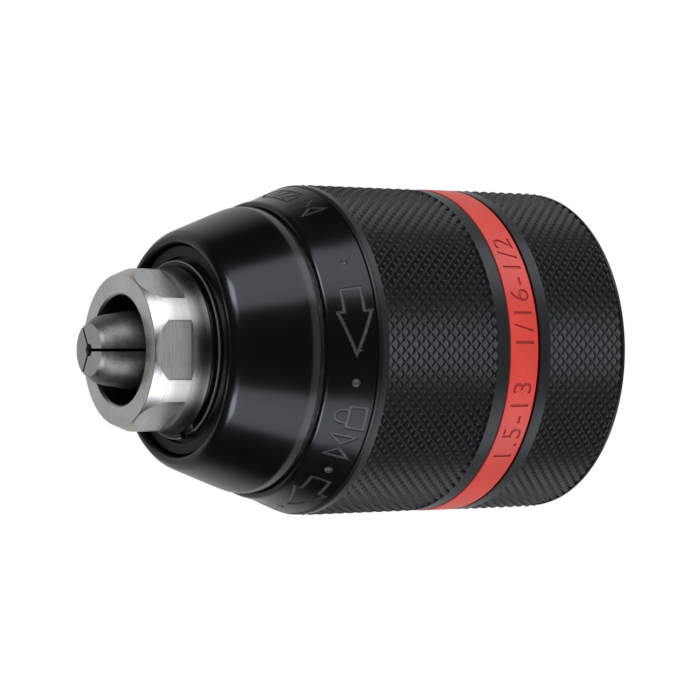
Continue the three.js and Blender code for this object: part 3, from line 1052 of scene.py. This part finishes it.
CAMERA_PLACE = (0.28213, -0.21472, 0.0)
CAMERA_HEADING = (-0.8360, 0.5487, 0.0)
SOFTBOX_DISTANCE = 0.5
SOFTBOX_COLOUR = (0.88, 0.96, 1.08)
LIT_POINT = (0.0, -0.032, 0.0)
FILL_LEVEL = 0.62
SIDE_WALL_LEVEL = 0.52
REAR_WALL_LEVEL = 0.7


def make_camera():
    data = bpy.data.cameras.new("camera")
    data.lens = 131.84
    data.sensor_width = 36.0
    camera = bpy.data.objects.new("camera", data)
    camera.location = CAMERA_PLACE
    camera.rotation_euler = Vector(CAMERA_HEADING).to_track_quat("-Z", "Y").to_euler()
    bpy.context.scene.collection.objects.link(camera)
    bpy.context.scene.camera = camera


def softbox(name, direction, spread, brightness):
    """Rectangular light; spread is its width and height as seen from the chuck, as tangents."""
    data = bpy.data.lights.new(name, "AREA")
    data.shape = "RECTANGLE"
    data.size, data.size_y = spread[0] * SOFTBOX_DISTANCE, spread[1] * SOFTBOX_DISTANCE
    data.energy = brightness * math.pi * data.size * data.size_y
    data.color = SOFTBOX_COLOUR
    light = bpy.data.objects.new(name, data)
    towards = Vector(direction).normalized()
    light.location = Vector(LIT_POINT) + towards * SOFTBOX_DISTANCE
    light.rotation_euler = (-towards).to_track_quat("-Z", "Y").to_euler()
    light.visible_camera = False
    bpy.context.scene.collection.objects.link(light)


def make_world():
    """White to the camera, an even fill, and two soft walls that only reflections show."""
    world = bpy.data.worlds.new("studio")
    bpy.context.scene.world = world
    world.cycles.sampling_method = "NONE"
    world.use_nodes = True
    tree = world.node_tree
    tree.nodes.clear()

    def node(kind, settings=None, sockets=None):
        return add_node(tree, kind, settings, sockets)

    place = node("ShaderNodeTexCoord")
    split = node("ShaderNodeSeparateXYZ", {}, {0: place.outputs["Generated"]})
    rays = node("ShaderNodeLightPath").outputs
    level = rays["Is Camera Ray"]
    fill = node("ShaderNodeMath", {"operation": "MULTIPLY"}, {
        0: rays["Is Diffuse Ray"], 1: FILL_LEVEL,
    })

    def fade(axis, begins, ends, low, high):
        """Brightness that goes from low to high between two values of a direction's part."""
        return node("ShaderNodeMapRange", {"interpolation_type": "SMOOTHSTEP"}, {
            "Value": split.outputs[axis], "From Min": begins, "From Max": ends, "To Min": low,
            "To Max": high,
        }).outputs[0]

    side_wall = fade("X", -0.3, -0.75, 0.0, SIDE_WALL_LEVEL)
    rear_wall = node("ShaderNodeMath", {"operation": "MULTIPLY"}, {
        0: fade("Y", 0.3, 0.52, 0.0, REAR_WALL_LEVEL), 1: fade("Y", 0.53, 0.66, 1.0, 0.5),
    }).outputs[0]
    for wall in (side_wall, rear_wall):
        level = node("ShaderNodeMath", {"operation": "MAXIMUM"}, {0: level, 1: wall}).outputs[0]
    level = node("ShaderNodeMath", {"operation": "MAXIMUM"}, {0: level, 1: fill.outputs[0]})
    glow = node("ShaderNodeBackground", {}, {"Color": (1, 1, 1, 1), "Strength": level.outputs[0]})
    out = node("ShaderNodeOutputWorld")
    tree.links.new(glow.outputs[0], out.inputs[0])


def make_floor():
    mesh = bpy.data.meshes.new("studio_floor")
    reach, height = 3.0, -0.15
    corners = [(-reach, -reach, height), (reach, -reach, height), (reach, reach, height),
               (-reach, reach, height)]
    mesh.from_pydata(corners, [], [(0, 1, 2, 3)])
    paper = Surface("studio_paper", Base_Color=grey(0.05), Roughness=0.9)
    paper.shader.inputs["Emission Color"].default_value = grey(1.0)
    paper.shader.inputs["Emission Strength"].default_value = 0.97
    stage = new_piece("studio_floor", mesh, paper.material)
    stage.visible_glossy = False
    stage.visible_diffuse = False
    stage.visible_shadow = False


def make_studio():
    softbox("softbox_above", (0.56, 0.09, 0.82), (2.3, 0.66), 1.7)
    softbox("softbox_below", (0.61, 0.09, -0.78), (2.3, 0.62), 1.7)
    softbox("glint_above", (0.49, -0.51, 0.71), (0.4, 0.4), 4.8)
    softbox("glint_below", (0.49, -0.51, -0.71), (0.4, 0.4), 4.8)
    make_world()
    make_floor()
    bpy.context.scene.view_settings.view_transform = "Standard"


# ------------------------------------------------------------------ build

make_camera()
make_body()
make_locking_screw()
make_jaws()
make_circlip()
make_front_disc()
make_front_cap()
make_marker_collar()
make_size_ring()
make_sleeves()
dress_inner_pieces()
make_studio()
